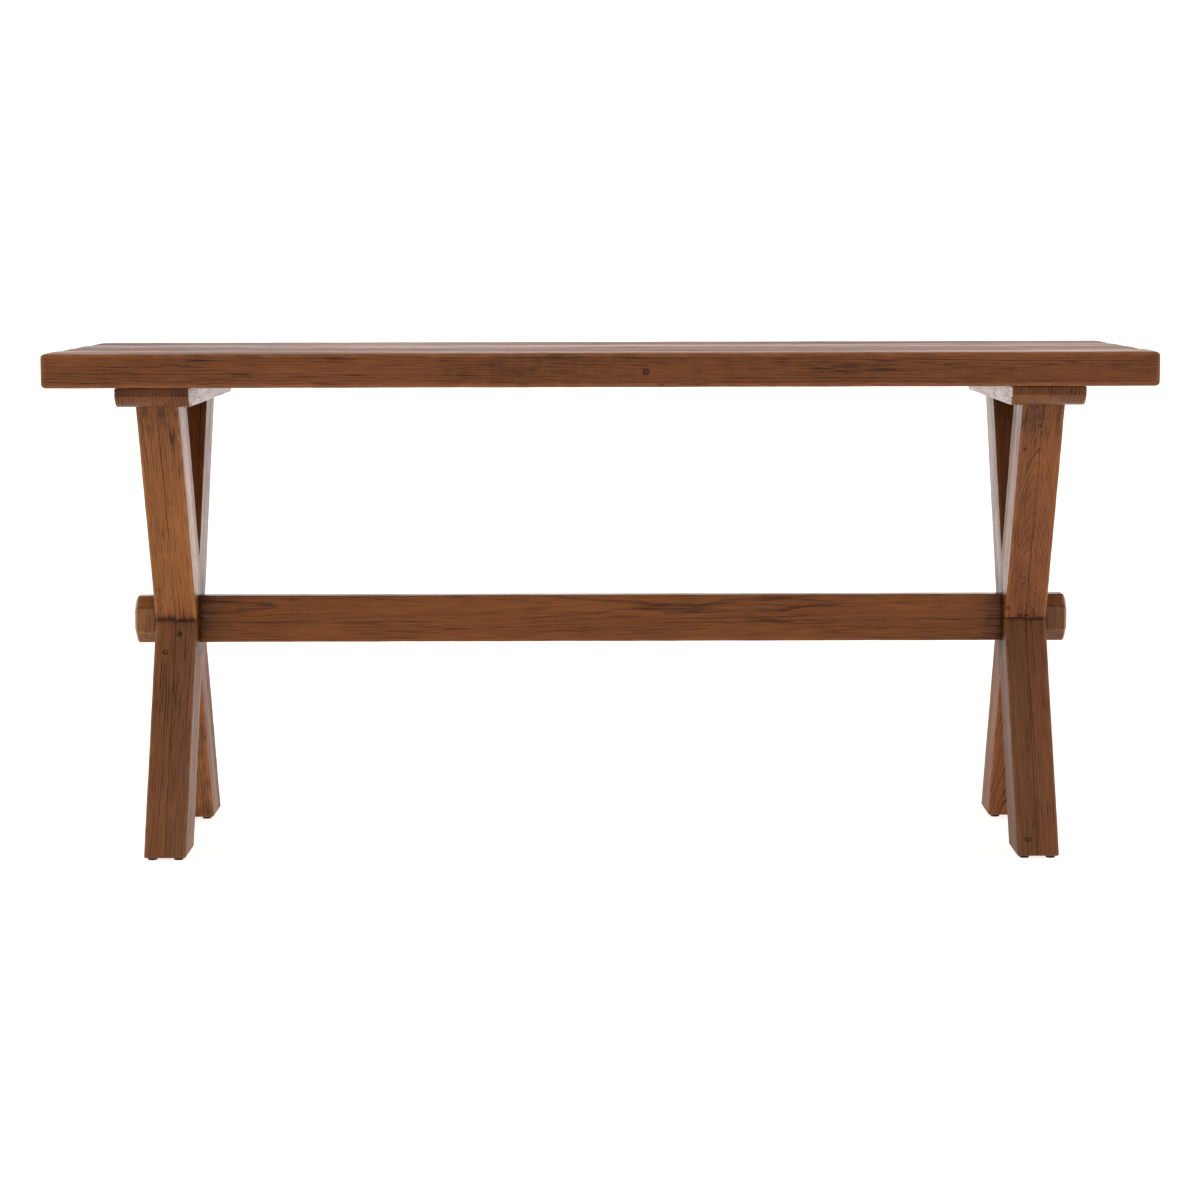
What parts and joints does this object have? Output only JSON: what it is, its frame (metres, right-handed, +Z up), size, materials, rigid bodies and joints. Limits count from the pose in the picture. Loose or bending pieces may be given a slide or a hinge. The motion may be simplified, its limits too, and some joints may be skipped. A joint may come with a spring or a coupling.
{
  "type": "trestle bar table",
  "caption": "Bar-height trestle table: a thick plank top on X-shaped trestles under chamfered cleats, joined by a stretcher with octagonal end blocks.",
  "frame": {"origin": "on the floor, below the middle of the top", "axes": "+X along the top to the right of someone in front of the table, +Y to the rear, +Z up"},
  "size_m": [2.286, 0.813, 1.067],
  "materials": {
    "top_wood": "brown-stained softwood with a satin lacquer",
    "cleat_wood": "brown-stained softwood with a satin lacquer",
    "leg_wood": "brown-stained softwood with a satin lacquer",
    "stretcher_wood": "brown-stained softwood with a satin lacquer",
    "block_wood": "brown-stained softwood with a satin lacquer",
    "spline_wood": "bare softwood",
    "zinc_steel": "zinc-plated",
    "glide_plastic": "matt black"
  },
  "bodies": {
    "root": {"top_plank_front": "top_wood", "top_plank_mid_front": "top_wood", "top_plank_mid_rear": "top_wood", "top_plank_rear": "top_wood", "plank_spline_front": "spline_wood", "plank_spline_middle": "spline_wood", "plank_spline_rear": "spline_wood", "left_cleat": "cleat_wood", "right_cleat": "cleat_wood", "left_leg_a_long_board": "leg_wood", "left_leg_a_upper_board": "leg_wood", "left_leg_a_lower_board": "leg_wood", "left_leg_b_long_board": "leg_wood", "left_leg_b_upper_board": "leg_wood", "left_leg_b_lower_board": "leg_wood", "right_leg_a_long_board": "leg_wood", "right_leg_a_upper_board": "leg_wood", "right_leg_a_lower_board": "leg_wood", "right_leg_b_long_board": "leg_wood", "right_leg_b_upper_board": "leg_wood", "right_leg_b_lower_board": "leg_wood", "stretcher": "stretcher_wood", "left_end_block": "block_wood", "right_end_block": "block_wood", "top_screws": "zinc_steel", "top_screw_washers": "zinc_steel", "stretcher_bolts": "zinc_steel", "stretcher_nuts": "zinc_steel", "glides": "glide_plastic", "glide_nails": "zinc_steel"}
  },
  "joints": []
}
